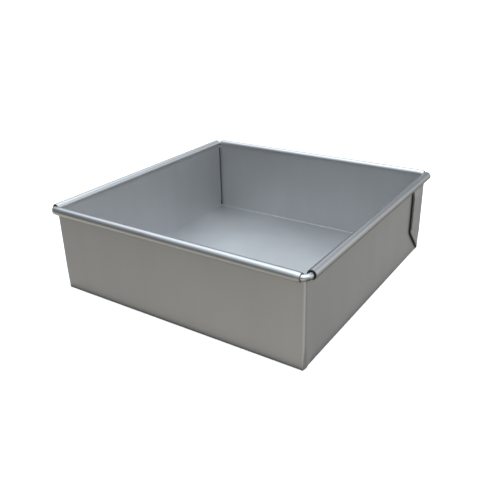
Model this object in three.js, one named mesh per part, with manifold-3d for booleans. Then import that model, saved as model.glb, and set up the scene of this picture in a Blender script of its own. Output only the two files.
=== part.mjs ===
// Square folded-corner cake pan with a wired rim, 9 x 9 x 3 inches.
// Millimetres, +Z up. The origin is the centre of the base's underside, and the front wall faces -Y.
//
// The pan is two pieces. pan_body is one sheet: the floor, four walls, a two-layer gusset folded
// flat against each end of both side walls, and a strip along each wall rolled outwards round the
// wire. rim_wire is one length of round wire, bent square, whose ends meet inside the back bead.
import * as THREE from 'three';
import { mergeVertices } from 'three/addons/utils/BufferGeometryUtils.js';
import Module from 'manifold-3d';

// Driving dimensions.
const PAN_WIDTH = 228.6;         // 9 in, outside the walls, the same both ways
const PAN_HEIGHT = 76.2;         // 3 in, from the base's underside to the top of the bead
const SHEET = 0.6;               // 24 gauge sheet
const WALL_CORNER_RADIUS = 2.2;  // outside bend of the vertical corners
const BEAD_RADIUS = 3.6;         // outside radius of the rolled bead
const BEAD_CURL_END = -135;      // degrees from straight outwards, where the curl stops under the wire
const BEAD_FACETS = 30;          // facets round the bead
const WIRE_RADIUS = 2.38;        // 3/16 in wire
const WIRE_BEND_RADIUS = 4.5;    // centreline radius of the wire's four bends
const WIRE_SIDES = 20;
const WIRE_BEND_STEPS = 8;
const WIRE_BUTT_GAP = 0.6;       // between the wire's two ends, inside the back bead
const GUSSET_WIDTH = 27;         // from the vertical corner to the gusset's cut edge
const GUSSET_STEP = 1.5;         // how far the gusset's two layers stand proud of the side wall
const GUSSET_FOLD_START = 2;     // where the 45 degree fold leaves the base
const GUSSET_BEND_RADIUS = 5;    // between the diagonal fold and the vertical cut edge
const GUSSET_GAP = 0.25;         // open gap behind the gusset's free edge
const GUSSET_GAP_TOP = 62;       // above this the bead clamps the gusset to the wall
const GUSSET_GAP_DEPTH = 15;     // how far the gap runs in from the free edge
const SEAM_WIDTH = 0.5;          // open seam inside each vertical corner
const SEAM_DEPTH = 1.2;
const SEAM_FOOT_WIDTH = 1.2;     // the seam opens out into a slot at the floor
const SEAM_FOOT_HEIGHT = 6.5;

// Sizes that follow from them.
const HALF = PAN_WIDTH / 2;
const INSIDE = HALF - SHEET;
const BEAD_CENTRE = INSIDE + BEAD_RADIUS;
const BEAD_HEIGHT = PAN_HEIGHT - BEAD_RADIUS;
const NOTCH_HEIGHT = BEAD_HEIGHT - BEAD_RADIUS - 0.4;  // top of the sheet at the notched corners
const LAP = 2;                                         // overlap used only to join solids

// Each bead: the direction that its wall faces, and how far it runs each way from the wall's
// middle, first towards the left as seen from outside. The right bead stops short at the front.
const BEAD_REACH = 113.6;
const SHORT_BEAD_REACH = 110.4;
const BEADS = [
  { facing: -90, left: BEAD_REACH, right: BEAD_REACH },        // front
  { facing: 0, left: SHORT_BEAD_REACH, right: BEAD_REACH },    // right
  { facing: 90, left: BEAD_REACH, right: BEAD_REACH },         // back
  { facing: 180, left: BEAD_REACH, right: BEAD_REACH },        // left
];

const wasm = await Module();
wasm.setup();

const radians = THREE.MathUtils.degToRad;

function toSolid(geometry) {
  const bare = geometry.clone();
  bare.deleteAttribute('normal');
  bare.deleteAttribute('uv');
  const merged = mergeVertices(bare, 1e-4);
  return new wasm.Manifold(new wasm.Mesh({
    numProp: 3,
    vertProperties: new Float32Array(merged.attributes.position.array),
    triVerts: new Uint32Array(merged.index.array),
  }));
}

function toGeometry(solid) {
  const mesh = solid.getMesh();
  const geometry = new THREE.BufferGeometry();
  geometry.setAttribute('position', new THREE.BufferAttribute(new Float32Array(mesh.vertProperties), 3));
  geometry.setIndex(new THREE.BufferAttribute(new Uint32Array(mesh.triVerts), 1));
  geometry.computeVertexNormals();
  return geometry;
}

function roundedRectangle(width, depth, radius) {
  const x = width / 2 - radius;
  const y = depth / 2 - radius;
  const shape = new THREE.Shape();
  shape.absarc(x, -y, radius, -Math.PI / 2, 0, false);
  shape.absarc(x, y, radius, 0, Math.PI / 2, false);
  shape.absarc(-x, y, radius, Math.PI / 2, Math.PI, false);
  shape.absarc(-x, -y, radius, Math.PI, 1.5 * Math.PI, false);
  return shape;
}

// A prism standing on the height `from`, up to the height `to`.
function prism(shape, from, to) {
  const geometry = new THREE.ExtrudeGeometry(shape, {
    depth: to - from,
    bevelEnabled: false,
    curveSegments: 6,
  });
  geometry.translate(0, 0, from);
  return toSolid(geometry);
}

function box(low, high) {
  const geometry = new THREE.BoxGeometry(high[0] - low[0], high[1] - low[1], high[2] - low[2]);
  geometry.translate((low[0] + high[0]) / 2, (low[1] + high[1]) / 2, (low[2] + high[2]) / 2);
  return toSolid(geometry);
}

// The four places that mirror the front right corner: signs for X and Y.
const CORNERS = [[1, -1], [1, 1], [-1, 1], [-1, -1]];

// A box given at the right-hand back corner, mirrored to the corner with these signs.
function cornerBox([sx, sy], low, high) {
  const x = [sx * low[0], sx * high[0]].sort((a, b) => a - b);
  const y = [sy * low[1], sy * high[1]].sort((a, b) => a - b);
  return box([x[0], y[0], low[2]], [x[1], y[1], high[2]]);
}

// The rolled edge in section, x outwards and y up from the wire's centre: the top of the wall
// rises at the left, then the strip goes over the wire and back underneath it.
function beadSection() {
  const inner = BEAD_RADIUS - SHEET;
  const foot = NOTCH_HEIGHT - LAP - BEAD_HEIGHT;
  const end = radians(BEAD_CURL_END);
  const shape = new THREE.Shape();
  shape.moveTo(-BEAD_RADIUS, foot);
  shape.lineTo(-BEAD_RADIUS, 0);
  shape.absarc(0, 0, BEAD_RADIUS, Math.PI, end, true);
  shape.lineTo(inner * Math.cos(end), inner * Math.sin(end));
  shape.absarc(0, 0, inner, end, Math.PI, false);
  shape.lineTo(-inner, foot);
  shape.closePath();
  return shape;
}

function bead({ facing, left, right }) {
  const geometry = new THREE.ExtrudeGeometry(beadSection(), {
    depth: left + right,
    bevelEnabled: false,
    curveSegments: BEAD_FACETS,
  });
  geometry.translate(BEAD_CENTRE, BEAD_HEIGHT, -right);
  const outwards = new THREE.Vector3(Math.cos(radians(facing)), Math.sin(radians(facing)), 0);
  const up = new THREE.Vector3(0, 0, 1);
  const along = new THREE.Vector3().crossVectors(outwards, up);
  geometry.applyMatrix4(new THREE.Matrix4().makeBasis(outwards, up, along));
  return toSolid(geometry);
}

// A gusset's outline on the side wall: x is the distance from the vertical corner, y the height.
function gussetOutline() {
  const bendHeight = GUSSET_WIDTH - GUSSET_FOLD_START;
  const tangent = GUSSET_BEND_RADIUS * Math.tan(Math.PI / 8);
  const diagonal = tangent * Math.SQRT1_2;
  const shape = new THREE.Shape();
  shape.moveTo(-LAP, 0);
  shape.lineTo(GUSSET_FOLD_START, 0);
  shape.lineTo(GUSSET_WIDTH - diagonal, bendHeight - diagonal);
  shape.absarc(
    GUSSET_WIDTH - GUSSET_BEND_RADIUS, bendHeight + tangent, GUSSET_BEND_RADIUS, -Math.PI / 4, 0, false,
  );
  shape.lineTo(GUSSET_WIDTH, NOTCH_HEIGHT);
  shape.lineTo(-LAP, NOTCH_HEIGHT);
  shape.closePath();
  return shape;
}

// All the gussets at one end of the pan, sign -1 at the front and 1 at the back: the outline is
// run across the whole pan and kept where it lies inside the wider plan of the gussets.
function gussets(sign) {
  const reach = HALF + GUSSET_STEP + LAP;
  const geometry = new THREE.ExtrudeGeometry(gussetOutline(), {
    depth: 2 * reach,
    bevelEnabled: false,
    curveSegments: 6,
  });
  const inwards = new THREE.Vector3(0, -sign, 0);
  const up = new THREE.Vector3(0, 0, 1);
  const across = new THREE.Vector3().crossVectors(inwards, up);
  geometry.translate(-HALF, 0, -reach);
  geometry.applyMatrix4(new THREE.Matrix4().makeBasis(inwards, up, across));
  const plan = roundedRectangle(PAN_WIDTH + 2 * GUSSET_STEP, PAN_WIDTH, WALL_CORNER_RADIUS);
  return toSolid(geometry).intersect(prism(plan, 0, NOTCH_HEIGHT));
}

function panBody() {
  let body = prism(roundedRectangle(PAN_WIDTH, PAN_WIDTH, WALL_CORNER_RADIUS), 0, NOTCH_HEIGHT);
  body = body.add(gussets(-1)).add(gussets(1));
  const cavity = box([-INSIDE, -INSIDE, SHEET], [INSIDE, INSIDE, PAN_HEIGHT]);
  body = body.subtract(cavity);
  for (const place of BEADS) {
    body = body.add(bead(place));
  }
  for (const corner of CORNERS) {
    const edge = HALF - GUSSET_WIDTH;
    body = body.subtract(cornerBox(
      corner,
      [HALF, edge - LAP, SHEET],
      [HALF + GUSSET_GAP, edge + GUSSET_GAP_DEPTH, GUSSET_GAP_TOP],
    ));
    body = body.subtract(cornerBox(
      corner,
      [INSIDE - LAP, INSIDE - SEAM_WIDTH, SHEET],
      [INSIDE + SEAM_DEPTH, INSIDE, NOTCH_HEIGHT + LAP],
    ));
    body = body.subtract(cornerBox(
      corner,
      [INSIDE - LAP, INSIDE - SEAM_FOOT_WIDTH, SHEET],
      [INSIDE + SEAM_DEPTH, INSIDE, SEAM_FOOT_HEIGHT],
    ));
  }
  return toGeometry(body);
}

// The wire's centreline, given station by station: its ends inside the back bead, and the steps
// round each bend.
class WireLoop extends THREE.Curve {
  constructor() {
    super();
    const straight = BEAD_CENTRE - WIRE_BEND_RADIUS;
    this.stations = [];
    const end = WIRE_BUTT_GAP / 2;
    this.addStation(-end, BEAD_CENTRE, 180);
    for (const [corner, [sx, sy]] of [[-1, 1], [-1, -1], [1, -1], [1, 1]].entries()) {
      for (let step = 0; step <= WIRE_BEND_STEPS; step += 1) {
        const turn = 90 + 90 * corner + 90 * step / WIRE_BEND_STEPS;
        this.addStation(
          sx * straight + WIRE_BEND_RADIUS * Math.cos(radians(turn)),
          sy * straight + WIRE_BEND_RADIUS * Math.sin(radians(turn)),
          turn + 90,
        );
      }
    }
    this.addStation(end, BEAD_CENTRE, 180);
  }

  addStation(x, y, heading) {
    const tangent = new THREE.Vector3(Math.cos(radians(heading)), Math.sin(radians(heading)), 0);
    this.stations.push({ point: new THREE.Vector3(x, y, BEAD_HEIGHT), tangent });
  }

  stationAt(u) {
    return this.stations[Math.round(u * (this.stations.length - 1))];
  }

  getPointAt(u, target = new THREE.Vector3()) {
    return target.copy(this.stationAt(u).point);
  }

  getTangentAt(u, target = new THREE.Vector3()) {
    return target.copy(this.stationAt(u).tangent);
  }
}

function rimWire() {
  const loop = new WireLoop();
  const section = new THREE.Shape();
  section.absarc(0, 0, WIRE_RADIUS, 0, 2 * Math.PI, false);
  return new THREE.ExtrudeGeometry(section, {
    extrudePath: loop,
    steps: loop.stations.length - 1,
    curveSegments: WIRE_SIDES,
    bevelEnabled: false,
  });
}

const SATIN_SHEET = { color: 0x9a9a96, roughness: 0.42, metalness: 0.9 };
const BRIGHT_WIRE = { color: 0xc4c6c8, roughness: 0.28, metalness: 1.0 };

const pan = new THREE.Group();

function addPiece(name, geometry, finish) {
  const mesh = new THREE.Mesh(geometry, new THREE.MeshStandardMaterial(finish));
  mesh.name = name;
  pan.add(mesh);
}

addPiece('pan_body', panBody(), SATIN_SHEET);
addPiece('rim_wire', rimWire(), BRIGHT_WIRE);

export default pan;
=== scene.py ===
"""Looks for a square cake pan folded from one sheet, with its rim rolled round a wire.

Everything is in the frame's axes: +Z up, the front wall faces -Y, and the gussets lie on the side
walls, which face +X and -X. The shapes are worked out in millimetres and written in metres.
"""

import math

import bmesh
import bpy
from mathutils import Matrix, Vector


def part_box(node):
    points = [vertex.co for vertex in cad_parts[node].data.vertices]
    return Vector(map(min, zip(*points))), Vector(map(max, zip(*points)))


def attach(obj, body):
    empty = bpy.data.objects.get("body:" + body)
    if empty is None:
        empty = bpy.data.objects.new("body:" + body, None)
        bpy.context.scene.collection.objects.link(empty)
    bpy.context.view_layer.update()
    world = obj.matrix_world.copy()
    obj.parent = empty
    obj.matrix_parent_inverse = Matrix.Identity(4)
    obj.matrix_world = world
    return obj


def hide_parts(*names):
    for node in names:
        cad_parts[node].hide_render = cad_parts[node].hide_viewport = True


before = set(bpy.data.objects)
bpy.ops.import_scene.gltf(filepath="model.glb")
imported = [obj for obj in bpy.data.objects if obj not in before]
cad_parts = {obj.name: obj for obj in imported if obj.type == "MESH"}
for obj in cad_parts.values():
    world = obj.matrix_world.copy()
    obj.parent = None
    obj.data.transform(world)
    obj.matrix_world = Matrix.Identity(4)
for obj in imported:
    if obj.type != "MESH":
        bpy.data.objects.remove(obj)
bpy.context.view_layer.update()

MM = 0.001

# The sheet, its bends and its rim, in millimetres. The box of each piece in the frame gives the rest.
# The gusset's fold start and bend are a little wider here than in the frame.
SHEET = 0.6
BEAD_RADIUS = 3.6
BEAD_CURL_END = -135       # degrees from straight outwards
NOTCH_CLEARANCE = 0.4      # the sheet is notched this far below the bead
WALL_CORNER_RADIUS = 2.2
GUSSET_STEP = 1.5
GUSSET_WIDTH = 27
GUSSET_FOLD_START = 2.2
GUSSET_BEND_RADIUS = 8
WIRE_BEND_RADIUS = 4.5
WIRE_OFFSET = 0.12         # the wire lies this far in and this far down from the bead's centre
BEAD_REACH = 113.6         # where the beads end, from the middle
SHORT_BEAD_REACH = 110.4   # and the near end of the right one
FRONT_BEAD_PINCH = 0.3     # the front and back beads close on the wire at their ends
SIDE_BEAD_OPENING = 0.35   # and the side beads stand open there

body_low, body_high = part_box("pan_body")
wire_low, wire_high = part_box("rim_wire")
HEIGHT = body_high.z / MM
INSIDE = body_high.x / MM - 2 * BEAD_RADIUS
HALF = INSIDE + SHEET
BEAD_CENTRE = INSIDE + BEAD_RADIUS
BEAD_HEIGHT = HEIGHT - BEAD_RADIUS
NOTCH = BEAD_HEIGHT - BEAD_RADIUS - NOTCH_CLEARANCE
WIRE_RADIUS = (wire_high.z - wire_low.z) / MM / 2

# The middle surface of the sheet, which is thickened at the end.
MID = SHEET / 2
WALL = HALF - MID                        # middle of the wall's thickness
BASE_BEND = 0.75                         # bend between the floor and the front and back walls
SIDE_BEND = 0.45                         # and the tighter one between the floor and the side walls
FLOOR_X = WALL - SIDE_BEND               # where the floor ends
FLOOR_Y = WALL - BASE_BEND
FLOOR_RISE = 0.22                        # how far the floor steps up inside its edges
FLOOR_ROLL = 3.5                         # over this width
FLOOR_CROWN = 0.15                       # and how much higher its middle is
SIDE_END = 112.1                         # where a side wall starts to fold back behind itself
FOLD_RADIUS = 0.4                        # of that fold
INNER_LAYER = WALL + 2 * FOLD_RADIUS     # the gusset's two layers, from the pan's centre
OUTER_LAYER = HALF + GUSSET_STEP - MID
HEM_RADIUS = (OUTER_LAYER - INNER_LAYER) / 2
HEM_FOOT = MID + HEM_RADIUS
SHARED_FROM = 3.6                        # from here on the two layers share their diagonal fold
FRONT_FLARE = 0.15                       # how far a front gusset springs away from its wall
BACK_FLARE = 1.05                        # and a back one
GUSSET_TIGHT = 20                        # up to this height the gusset's fold is drawn in
FOLD_CLOSED_BELOW = -2                   # the fold would close fully at this height
SEAM_OPENING = 0.9                       # how much wider the inside seam is at its foot
SEAM_OPENING_HEIGHT = 7.0                # up to this height
SEAM_RUN = 9                             # how far along the wall that widening reaches
BASE_CORNER_TOP = 4.0                    # the folded base corners lie below this height
FLARE_ALONG = (2, 13)                    # where a gusset springs out, along the wall
FLARE_TOP = (58, 67)                     # and the heights between which the bead stops it
DRAWN_ALONG = (1.8, 3.9)                 # where its fold is drawn in, along the wall
DRAWN_IN = 0.85                          # by this share of its step
WAVE_HEIGHT = 0.07                       # waviness of the panels
BEAD_RIPPLE = 0.03                       # and of the beads
BEAD_END_RUN = 2.5                       # how far a bead's pinched or opened end reaches
BEAD_MARGIN = 0.01                       # keeps the beads inside the frame's box
BUTT_HALF_GAP = 0.3                      # half of the gap between the wire's ends
RIM_FADE = 3                             # the metal gets smoother over this height, up to the rim

# How finely the curves are divided.
WALL_CELLS = 56
ROW_CELLS = 22
ROW_CROWDING = 1.35        # more than 1 puts the rows closer together at the foot
BEND_STEPS = 5
BEAD_STEPS = 30
FOLD_STEPS = 6
WIRE_STEPS = 14
WIRE_SIDES = 32
DIAGONAL_STEPS = 14
ARC_ANGLES = (54, 63, 72, 81, 90)

# From this distance from the corner on, the gusset's lower edge turns up into its free edge.
GUSSET_ARC_FROM = GUSSET_WIDTH - GUSSET_BEND_RADIUS * (1 - math.sin(math.pi / 4))

# The stage, in metres, and the surround's plain tone.
FLOOR_SIZE = 60.0
FLOOR_GLOW = 0.45
CONTACT_SHADE_MARGIN = 4   # in millimetres, beyond the walls
SURROUND_TONE = (0.16, 0.16, 0.16)

# Soft lights, each with its azimuth (0 in front of the pan, 90 to its right), elevation and
# strength. The ones above are cool, and the table's bounce from below is warm.
PATCH_CORE = 8             # a light is full within this many degrees of its direction
PATCH_EDGE = 46            # and gone from here on
COOL = (0.895, 1.0, 1.10)
WARM = (1.05, 1.0, 0.87)
SOFTBOXES = [
    (90, 75, 1.2),      # overhead
    (-130, 65, 1.8),    # key, high behind the left
    (0, 55, 1.0),       # front
    (60, 40, 0.6),      # right
    (120, 30, 0.8),     # behind the right
]
TABLE_TONES = [
    (130, -5, 0.35),    # behind the right
    (45, -15, 0.25),    # near corner
    (10, -35, 0.5),     # front
    (-80, -40, 0.5),    # left
]

# The camera, from a fit to the pan's edges in the photo: where it stands and where it looks.
CAMERA_AZIMUTH = 34.48
CAMERA_ELEVATION = 24.41
CAMERA_ROLL = -1.704
CAMERA_DISTANCE = 0.545
CAMERA_AIM = (-0.01298, 0.00105, 0.02276)
CAMERA_FOCAL = 44.77


def smooth(value, low, high):
    """0 below low, 1 above high, and a smooth step between."""
    t = min(max((value - low) / (high - low), 0.0), 1.0)
    return t * t * (3 - 2 * t)


class Surface:
    """Collects quads of one surface. Points closer than a micrometre are the same point."""

    def __init__(self):
        self.points = []
        self.faces = []
        self.in_pocket = []
        self.index = {}

    def point(self, place):
        key = tuple(round(c * 1000) for c in place)
        if key not in self.index:
            self.index[key] = len(self.points)
            self.points.append(place)
        return self.index[key]

    def grid(self, columns, pocket=False):
        """Joins neighbouring columns of points with quads. A pocket's quads have one side painted dark, as
        painted shade in the narrow fold.
        """
        names = [[self.point(p) for p in column] for column in columns]
        for a, b in zip(names, names[1:]):
            for j in range(len(a) - 1):
                face = [a[j], b[j], b[j + 1], a[j + 1]]
                face = [v for i, v in enumerate(face) if v != face[i - 1]]
                if len(face) > 2:
                    self.faces.append(face)
                    self.in_pocket.append(pocket)

    def mesh(self, name):
        mesh = bpy.data.meshes.new(name)
        mesh.from_pydata([[c * MM for c in p] for p in self.points], [], self.faces)
        return mesh


def spread(reach, cells):
    """Stations from -reach to reach, with two more close to each end."""
    even = [reach * (2 * i - cells) / cells for i in range(cells + 1)]
    extra = [reach - 1, reach - 2.2]
    return sorted(even + extra + [-along for along in extra])


# Stations along the walls, and heights up them, closer together at the foot.
ALONG_FRONT = spread(FLOOR_X, WALL_CELLS)
ALONG_SIDE = spread(SIDE_END, WALL_CELLS)
WALL_ROWS = [
    MID + BASE_BEND + (NOTCH - MID - BASE_BEND) * (i / ROW_CELLS) ** ROW_CROWDING
    for i in range(ROW_CELLS + 1)
]
BEAD_ANGLES = [180 - (180 - BEAD_CURL_END) * i / BEAD_STEPS for i in range(BEAD_STEPS + 1)]


def panel_wave(along, reach, height, phase):
    """The slight waviness of a sheet panel, in millimetres, none at its edges."""
    rise = (height - WALL_ROWS[0]) / (NOTCH - WALL_ROWS[0])
    window = max((1 - (along / reach) ** 4) * math.sin(math.pi * rise), 0)
    window = 0 if rise < 1e-6 or rise > 1 - 1e-6 else window
    wave = math.sin(along / 31 + phase) + 0.6 * math.sin(along / 17 + height / 23 + 2 * phase)
    return WAVE_HEIGHT * window * wave


def bend_column(bend):
    """(how far out, height) up the bend from the floor to the wall."""
    rows = []
    for step in range(BEND_STEPS + 1):
        turn = math.radians(90 * step / BEND_STEPS)
        rows.append((
            WALL - bend + bend * math.sin(turn),
            MID + bend * (1 - math.cos(turn)),
        ))
    return rows


def bead_column(along, ends, pinch, opening):
    """(how far out, height) up the wall and round the bead, which is pinched or opened at its ends."""
    rows = [(WALL, NOTCH + (BEAD_HEIGHT - NOTCH) * i / 3) for i in range(3)]
    gap = min(abs(along - end) for end in ends)
    at_end = math.exp(-(gap / BEAD_END_RUN) ** 2)
    radius = BEAD_RADIUS - MID - BEAD_MARGIN
    for angle in BEAD_ANGLES:
        turn = math.radians(angle)
        grown = radius + at_end * opening * smooth(180 - angle, 190, 280)
        grown -= at_end * pinch * smooth(180 - angle, 0, 60)
        grown -= BEAD_RIPPLE * (1 + math.sin(along / 13 + 0.7)) * smooth(180 - angle, 40, 90)
        rows.append((
            BEAD_CENTRE + grown * math.cos(turn),
            BEAD_HEIGHT + grown * math.sin(turn),
        ))
    return rows


def side_shift(along, height):
    """How far a side wall's end draws back from the corner, near the floor."""
    near_end = smooth(abs(along), SIDE_END - SEAM_RUN, SIDE_END)
    closing = smooth(height, 0.8 * SEAM_OPENING_HEIGHT, SEAM_OPENING_HEIGHT)
    return SEAM_OPENING * near_end * (1 - closing)


def gusset_low(distance):
    """Height of the gusset's lower edge, at a distance from the vertical corner."""
    line = HEM_FOOT + max(distance - GUSSET_FOLD_START, 0)
    if distance <= GUSSET_ARC_FROM:
        return line
    centre_height = HEM_FOOT + GUSSET_ARC_FROM - GUSSET_FOLD_START
    centre_height += GUSSET_BEND_RADIUS * math.cos(math.pi / 4)
    across = min(distance - (GUSSET_WIDTH - GUSSET_BEND_RADIUS), GUSSET_BEND_RADIUS)
    return centre_height - math.sqrt(GUSSET_BEND_RADIUS ** 2 - across ** 2)


def gusset_flare(distance, height, front):
    """How far out the gusset springs from its wall. Its foot is drawn in, near the corner."""
    spring = (FRONT_FLARE if front else BACK_FLARE) * smooth(distance, *FLARE_ALONG)
    spring *= 1 - smooth(height, *FLARE_TOP)
    drawn_in = (1 - smooth(height, 0, GUSSET_TIGHT)) * (1 - smooth(distance, *DRAWN_ALONG))
    return spring - DRAWN_IN * GUSSET_STEP * drawn_in


def gusset_rows(distance):
    """Heights up the gusset, from its lower edge to the notch under the bead."""
    low = gusset_low(distance)
    first = HEM_FOOT
    rows = [first] + WALL_ROWS
    return [low + (NOTCH - low) * (z - first) / (NOTCH - first) for z in rows]


def hem_column(distance):
    """The fold along the gusset's lower edge: (along, down, inwards) for each step of its half turn."""
    tilt = 45 * smooth(distance, GUSSET_FOLD_START, GUSSET_FOLD_START + 1.5)
    if distance > GUSSET_ARC_FROM:
        across = min(distance - (GUSSET_WIDTH - GUSSET_BEND_RADIUS), GUSSET_BEND_RADIUS)
        tilt = math.degrees(math.asin(across / GUSSET_BEND_RADIUS))
    tilt = math.radians(tilt)
    column = []
    for step in range(FOLD_STEPS + 1):
        turn = math.radians(180 / FOLD_STEPS * step)
        reach = HEM_RADIUS * math.sin(turn)
        inwards = HEM_RADIUS * (1 - math.cos(turn))
        column.append((reach * math.sin(tilt), reach * math.cos(tilt), inwards))
    return column


# Distances from the vertical corner: along the foot, the diagonal fold and the arc to the free edge.
GUSSET_STATIONS = [GUSSET_FOLD_START, 2.7, SHARED_FROM]
GUSSET_STATIONS += [
    SHARED_FROM + (GUSSET_ARC_FROM - SHARED_FROM) * i / DIAGONAL_STEPS
    for i in range(1, DIAGONAL_STEPS + 1)
]
GUSSET_STATIONS += [
    GUSSET_WIDTH - GUSSET_BEND_RADIUS * (1 - math.sin(math.radians(angle))) for angle in ARC_ANGLES
]


def build_floor(surface):
    """The floor, slightly crowned, with a rolled step up just inside the walls."""
    rows = [-FLOOR_Y] + ALONG_SIDE + [FLOOR_Y]
    columns = []
    for x in ALONG_FRONT:
        column = []
        for y in rows:
            crown = FLOOR_CROWN * (1 - (x / FLOOR_X) ** 2) * (1 - (y / FLOOR_Y) ** 2)
            wave = 1 + 0.4 * math.sin(x / 29 + 0.5) * math.sin(y / 33 + 1.1)
            inward = smooth(FLOOR_X - abs(x), 0, FLOOR_ROLL)
            inward *= smooth(FLOOR_Y - abs(y), 0, FLOOR_ROLL)
            column.append((x, y, MID + crown * wave + FLOOR_RISE * inward))
        columns.append(column)
    surface.grid(columns)


def build_front(surface, turn):
    """The front wall with turn 1, or the back wall with turn -1, out to its gussets' outer layers."""

    def place(x, y, z):
        return (turn * x, turn * y, z)

    front = turn > 0
    flat = []
    for x in ALONG_FRONT:
        column = [place(x, -out, z) for out, z in bend_column(BASE_BEND)[:-1]]
        column += [place(x, -WALL - panel_wave(x, FLOOR_X, z, 0.4 + turn), z) for z in WALL_ROWS]
        flat.append(column)
    surface.grid(flat)

    ends = (-BEAD_REACH, BEAD_REACH)
    bead = []
    for x in sorted(set(ALONG_FRONT) | set(ends)):
        bead.append([place(x, -out, z) for out, z in bead_column(x, ends, FRONT_BEAD_PINCH, 0)])
    surface.grid(bead)

    for side in (-1, 1):
        wrap = []
        plan = [(FLOOR_X, -WALL, 0, 1, 0), (BEAD_REACH, -WALL, 0, 1, 0)]
        mid_radius = WALL_CORNER_RADIUS - MID
        for step in range(1, FOLD_STEPS + 1):
            angle = math.radians(90 * step / FOLD_STEPS)
            plan.append((
                BEAD_REACH + mid_radius * math.sin(angle),
                -WALL + mid_radius * (1 - math.cos(angle)),
                math.sin(angle), math.cos(angle), 0,
            ))
        for distance in GUSSET_STATIONS[1:]:
            plan.append((OUTER_LAYER, -HALF + distance, 1, 0, distance))
        for x, y, nx, ny, distance in plan:
            rows = gusset_rows(distance)
            hem = hem_column(distance)
            column = []
            for along, down, inwards in hem[::-1]:
                flare = gusset_flare(distance, rows[0], front) * nx
                column.append(place(
                    side * (x - inwards * nx + flare), y + inwards * ny + along, rows[0] - down,
                ))
            for z in rows[1:]:
                flare = gusset_flare(distance, z, front) * nx
                column.append(place(side * (x + flare), y, z))
            wrap.append(column)
        surface.grid(wrap, pocket=True)


def build_side(surface, turn, near_reach, far_reach):
    """The right wall with turn 1, or the left wall with turn -1, and its gussets' inner layers."""

    def place(out, y, z):
        return (turn * out, turn * y, z)

    flat = []
    for y in ALONG_SIDE:
        column = [place(out, y, z) for out, z in bend_column(SIDE_BEND)]
        for z in WALL_ROWS:
            drawn = math.copysign(side_shift(y, z), y)
            column.append(place(WALL + panel_wave(y, SIDE_END, z, 1.9 + turn), y - drawn, z))
        flat.append(column)
    surface.grid(flat)

    ends = (-near_reach, far_reach)
    stations = [y for y in ALONG_SIDE if -near_reach + 0.4 < y < far_reach - 0.4]
    bead = []
    for y in sorted(stations + list(ends)):
        bead.append([place(out, y, z) for out, z in bead_column(y, ends, 0, SIDE_BEAD_OPENING)])
    surface.grid(bead)

    for side in (-1, 1):
        fold = []
        front = side * turn < 0
        for step in range(FOLD_STEPS + 1):
            angle = math.radians(180 / FOLD_STEPS * step)
            column = []
            for z in WALL_ROWS:
                y = SIDE_END - side_shift(SIDE_END, z) + FOLD_RADIUS * math.sin(angle)
                out = WALL + FOLD_RADIUS * (1 - math.cos(angle)) * smooth(z, FOLD_CLOSED_BELOW, GUSSET_TIGHT)
                column.append(place(out, side * y, z))
            fold.append(column)
        surface.grid(fold, pocket=True)
        layer = []
        foot = []
        for distance in GUSSET_STATIONS:
            if distance < SHARED_FROM:
                continue
            column = []
            for z in gusset_rows(distance):
                out = INNER_LAYER + gusset_flare(distance, z, front)
                column.append(place(out, side * (HALF - distance), z))
            foot.append(column[:2])
            layer.append(column[1:])
        surface.grid([fold[-1]] + layer, pocket=True)
        surface.grid(foot, pocket=True)


def build_sheet():
    """The whole folded sheet, as the middle surface of its thickness."""
    surface = Surface()
    build_floor(surface)
    for turn in (1, -1):
        build_front(surface, turn)
    build_side(surface, 1, SHORT_BEAD_REACH, BEAD_REACH)
    build_side(surface, -1, BEAD_REACH, BEAD_REACH)
    mesh = surface.mesh("pan_sheet")
    mesh.polygons.foreach_set("material_index", [int(pocket) for pocket in surface.in_pocket])
    close_base_corners(mesh)
    return mesh


def close_base_corners(mesh):
    """Closes the sheet across its four folded base corners, and turns all of its faces outward."""
    shape = bmesh.new()
    shape.from_mesh(mesh)
    low = BASE_CORNER_TOP * MM
    around = [e for e in shape.edges if e.is_boundary and all(v.co.z < low for v in e.verts)]
    filled = bmesh.ops.holes_fill(shape, edges=around, sides=0)
    bmesh.ops.triangulate(shape, faces=filled["faces"])
    bmesh.ops.recalc_face_normals(shape, faces=shape.faces)
    lowest = min(shape.faces, key=lambda face: face.calc_center_median().z)
    if lowest.normal.z > 0:
        bmesh.ops.reverse_faces(shape, faces=shape.faces)
    shape.to_mesh(mesh)
    shape.free()


def add_object(name, mesh, materials):
    obj = bpy.data.objects.new(name, mesh)
    bpy.context.scene.collection.objects.link(obj)
    for material in materials:
        mesh.materials.append(material)
    return obj


def apply_modifiers(obj):
    depsgraph = bpy.context.evaluated_depsgraph_get()
    mesh = bpy.data.meshes.new_from_object(obj.evaluated_get(depsgraph), depsgraph=depsgraph)
    obj.modifiers.clear()
    obj.data = mesh


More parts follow.
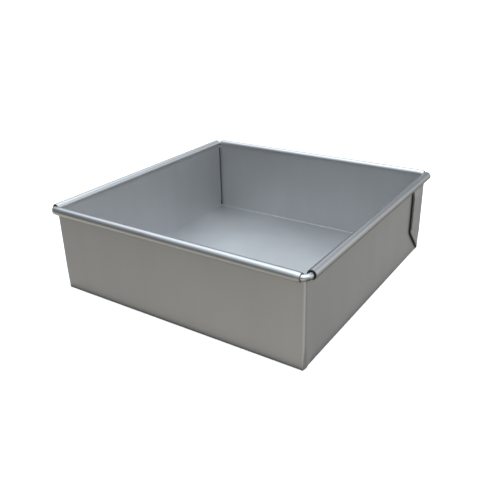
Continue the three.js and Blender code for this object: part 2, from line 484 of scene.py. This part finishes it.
def build_wire():
    """One round wire, bent at the four corners, with its ends meeting inside the back bead."""
    centre = BEAD_CENTRE - WIRE_OFFSET
    height = BEAD_HEIGHT - WIRE_OFFSET
    straight = centre - WIRE_BEND_RADIUS
    path = [(-BUTT_HALF_GAP, centre, 180)]
    for corner, (sx, sy) in enumerate([(-1, 1), (-1, -1), (1, -1), (1, 1)]):
        for step in range(WIRE_STEPS + 1):
            angle = 90 + 90 * corner + 90 * step / WIRE_STEPS
            turn = math.radians(angle)
            path.append((
                sx * straight + WIRE_BEND_RADIUS * math.cos(turn),
                sy * straight + WIRE_BEND_RADIUS * math.sin(turn),
                angle + 90,
            ))
    path.append((BUTT_HALF_GAP, centre, 180))
    surface = Surface()
    columns = []
    for x, y, heading in path:
        right = (math.sin(math.radians(heading)), -math.cos(math.radians(heading)))
        ring = []
        for i in range(WIRE_SIDES + 1):
            a = 2 * math.pi * (i % WIRE_SIDES) / WIRE_SIDES
            ring.append((
                x + right[0] * WIRE_RADIUS * math.cos(a),
                y + right[1] * WIRE_RADIUS * math.cos(a),
                height + WIRE_RADIUS * math.sin(a),
            ))
        columns.append(ring)
    surface.grid(columns)
    first = [surface.point(p) for p in columns[0][:-1]]
    last = [surface.point(p) for p in columns[-1][:-1]]
    surface.faces.append(first)
    surface.faces.append(last[::-1])
    return surface.mesh("rim_wire_bent")


def noise(tree, where, scale, stretch, detail):
    """A noise texture in the piece's own coordinates."""
    mapping = tree.nodes.new("ShaderNodeMapping")
    mapping.inputs["Scale"].default_value = stretch
    texture = tree.nodes.new("ShaderNodeTexNoise")
    texture.inputs["Scale"].default_value = scale
    texture.inputs["Detail"].default_value = detail
    tree.links.new(where, mapping.inputs["Vector"])
    tree.links.new(mapping.outputs["Vector"], texture.inputs["Vector"])
    return texture.outputs["Fac"]


def weigh(tree, a, weight_a, b, weight_b, offset):
    """a * weight_a + b * weight_b + offset"""
    first = tree.nodes.new("ShaderNodeMath")
    first.operation = "MULTIPLY_ADD"
    first.inputs[1].default_value = weight_a
    first.inputs[2].default_value = offset
    tree.links.new(a, first.inputs[0])
    second = tree.nodes.new("ShaderNodeMath")
    second.operation = "MULTIPLY_ADD"
    second.inputs[1].default_value = weight_b
    tree.links.new(b, second.inputs[0])
    tree.links.new(first.outputs[0], second.inputs[2])
    return second.outputs[0]


def rim_height(tree, where):
    """0 on the walls and 1 on the rolled rim."""
    split = tree.nodes.new("ShaderNodeSeparateXYZ")
    tree.links.new(where, split.inputs["Vector"])
    rim = tree.nodes.new("ShaderNodeMapRange")
    rim.inputs["From Min"].default_value = NOTCH * MM
    rim.inputs["From Max"].default_value = (NOTCH + RIM_FADE) * MM
    tree.links.new(split.outputs["Z"], rim.inputs["Value"])
    return rim.outputs["Result"]


def metal(name, colour, roughness, grain, streak, burnish=0.0):
    """Satin metal: streaks and mottle in its colour and roughness, and a fine grain bump.

    Burnish is how much smoother the rolled rim is than the walls.
    """
    material = bpy.data.materials.new(name)
    material.use_nodes = True
    tree = material.node_tree
    tree.nodes.clear()
    output = tree.nodes.new("ShaderNodeOutputMaterial")
    shader = tree.nodes.new("ShaderNodeBsdfPrincipled")
    shader.inputs["Metallic"].default_value = 1.0
    tree.links.new(shader.outputs["BSDF"], output.inputs["Surface"])

    where = tree.nodes.new("ShaderNodeTexCoord").outputs["Object"]
    streaks = noise(tree, where, 60, streak, 3)
    mottle = noise(tree, where, 22, (1, 1, 1), 4)
    grains = noise(tree, where, 900, (1, 1, 1), 2)

    ramp = tree.nodes.new("ShaderNodeMix")
    ramp.data_type = "RGBA"
    ramp.inputs["A"].default_value = (*[c * 0.93 for c in colour], 1)
    ramp.inputs["B"].default_value = (*[min(c * 1.07, 1) for c in colour], 1)
    tree.links.new(weigh(tree, streaks, 0.5, mottle, 0.7, -0.1), ramp.inputs["Factor"])
    tree.links.new(ramp.outputs["Result"], shader.inputs["Base Color"])

    dull = weigh(tree, mottle, 0.10, grains, 0.08, roughness - 0.09)
    if burnish:
        dull = weigh(tree, rim_height(tree, where), -burnish, dull, 1.0, 0.0)
    tree.links.new(dull, shader.inputs["Roughness"])

    bump = tree.nodes.new("ShaderNodeBump")
    bump.inputs["Strength"].default_value = grain
    bump.inputs["Distance"].default_value = 0.00002
    tree.links.new(weigh(tree, grains, 0.7, streaks, 0.5, 0), bump.inputs["Height"])
    tree.links.new(bump.outputs["Normal"], shader.inputs["Normal"])
    return material


def satin_sheet():
    """The sheet's own surface, with streaks that run up the walls."""
    return metal("satin_sheet", (0.55, 0.55, 0.55), 0.50, 0.25, (1, 1, 0.05), burnish=0.14)


def shaded_cut_edge():
    """The sheet's raw cut edges, darker than its faces: partly a rough burr, and partly painted shade for
    the dark slits at the bead ends and along the gussets' edges.
    """
    return metal("shaded_cut_edge", (0.30, 0.30, 0.30), 0.6, 0.3, (1, 1, 1))


def shaded_pocket():
    """The sheet inside a folded corner, darkened for the shade in so narrow a gap."""
    return metal("shaded_pocket", (0.16, 0.16, 0.16), 0.7, 0.3, (1, 1, 1))


def bright_wire():
    """The bare drawn wire."""
    return metal("bright_wire", (0.52, 0.525, 0.53), 0.28, 0.15, (1, 1, 1))


def build_floor_stage():
    """A plain pale floor. It is left out of reflections, where the surround's lower half stands in."""
    half = FLOOR_SIZE / 2
    corners = [(-half, -half, 0), (half, -half, 0), (half, half, 0), (-half, half, 0)]
    mesh = bpy.data.meshes.new("stage_floor")
    mesh.from_pydata(corners, [], [(0, 1, 2, 3)])
    material = bpy.data.materials.new("stage_floor")
    material.use_nodes = True
    shader = material.node_tree.nodes["Principled BSDF"]
    shader.inputs["Base Color"].default_value = (0.8, 0.8, 0.8, 1)
    shader.inputs["Roughness"].default_value = 1.0
    shader.inputs["Specular IOR Level"].default_value = 0.0
    shader.inputs["Emission Color"].default_value = (1, 1, 1, 1)
    shader.inputs["Emission Strength"].default_value = FLOOR_GLOW
    floor = add_object("stage_floor", mesh, [material])
    floor.visible_glossy = False


def build_contact_shade():
    """The darkness right under and beside the pan's foot, for reflections only."""
    half = (HALF + CONTACT_SHADE_MARGIN) * MM
    corners = [(-half, -half, -MM), (half, -half, -MM), (half, half, -MM), (-half, half, -MM)]
    mesh = bpy.data.meshes.new("contact_shade")
    mesh.from_pydata(corners, [], [(0, 1, 2, 3)])
    material = bpy.data.materials.new("contact_shade")
    material.use_nodes = True
    shader = material.node_tree.nodes["Principled BSDF"]
    shader.inputs["Base Color"].default_value = (0.03, 0.03, 0.03, 1)
    shader.inputs["Specular IOR Level"].default_value = 0.0
    shade = add_object("contact_shade", mesh, [material])
    shade.visible_camera = False
    shade.visible_diffuse = False
    shade.visible_shadow = False


def build_surround():
    """The studio round the pan: a plain tone with soft patches of light, all infinitely far off."""
    world = bpy.data.worlds.new("surround")
    bpy.context.scene.world = world
    world.use_nodes = True
    tree = world.node_tree
    tree.nodes.clear()
    output = tree.nodes.new("ShaderNodeOutputWorld")
    background = tree.nodes.new("ShaderNodeBackground")
    tree.links.new(background.outputs["Background"], output.inputs["Surface"])
    where = tree.nodes.new("ShaderNodeTexCoord")
    base = tree.nodes.new("ShaderNodeCombineXYZ")
    for channel, level in enumerate(SURROUND_TONE):
        base.inputs[channel].default_value = level
    total = base.outputs["Vector"]
    patches = [(*patch, COOL) for patch in SOFTBOXES] + [(*patch, WARM) for patch in TABLE_TONES]
    for azimuth, elevation, strength, tint in patches:
        a, e = math.radians(azimuth), math.radians(elevation)
        toward = tree.nodes.new("ShaderNodeVectorMath")
        toward.operation = "DOT_PRODUCT"
        toward.inputs[1].default_value = (
            math.sin(a) * math.cos(e), -math.cos(a) * math.cos(e), math.sin(e),
        )
        tree.links.new(where.outputs["Generated"], toward.inputs[0])
        fade = tree.nodes.new("ShaderNodeMapRange")
        fade.interpolation_type = "SMOOTHSTEP"
        fade.inputs["From Min"].default_value = math.cos(math.radians(PATCH_EDGE))
        fade.inputs["From Max"].default_value = math.cos(math.radians(PATCH_CORE))
        tree.links.new(toward.outputs["Value"], fade.inputs["Value"])
        light = tree.nodes.new("ShaderNodeVectorMath")
        light.operation = "SCALE"
        light.inputs[0].default_value = [strength * c for c in tint]
        tree.links.new(fade.outputs["Result"], light.inputs["Scale"])
        plus = tree.nodes.new("ShaderNodeVectorMath")
        plus.operation = "ADD"
        tree.links.new(total, plus.inputs[0])
        tree.links.new(light.outputs["Vector"], plus.inputs[1])
        total = plus.outputs["Vector"]
    tree.links.new(total, background.inputs["Color"])


def build_camera():
    data = bpy.data.cameras.new("camera")
    data.sensor_width = 36
    data.lens = CAMERA_FOCAL
    data.clip_start = 0.01
    camera = bpy.data.objects.new("camera", data)
    a, e, r = (math.radians(v) for v in (CAMERA_AZIMUTH, CAMERA_ELEVATION, CAMERA_ROLL))
    back = Vector((math.sin(a) * math.cos(e), -math.cos(a) * math.cos(e), math.sin(e)))
    level = Vector((math.cos(a), math.sin(a), 0))
    right = level * math.cos(r) + back.cross(level) * math.sin(r)
    up = back.cross(right)
    placed = Matrix((right, up, back)).transposed().to_4x4()
    placed.translation = Vector(CAMERA_AIM) + back * CAMERA_DISTANCE
    camera.matrix_world = placed
    bpy.context.scene.collection.objects.link(camera)
    bpy.context.scene.camera = camera


satin = satin_sheet()
# A pocket's face has the second material outside and the third, painted shade, inside, and the sheet's cut
# rims have the fourth, which is partly painted shade.
sheet = add_object("pan_sheet", build_sheet(), [satin, satin, shaded_pocket(), shaded_cut_edge()])
thicken = sheet.modifiers.new("thicken", "SOLIDIFY")
thicken.thickness = SHEET * MM
thicken.offset = 0
thicken.material_offset = 1
thicken.material_offset_rim = 3
apply_modifiers(sheet)
sheet.data.shade_smooth()
sheet.data.set_sharp_from_angle(angle=math.radians(50))
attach(sheet, "root")
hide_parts("pan_body")

wire = add_object("rim_wire_bent", build_wire(), [bright_wire()])
wire.data.shade_smooth()
wire.data.set_sharp_from_angle(angle=math.radians(50))
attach(wire, "root")
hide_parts("rim_wire")

build_floor_stage()
build_contact_shade()
build_surround()
build_camera()
bpy.context.scene.view_settings.view_transform = "Standard"
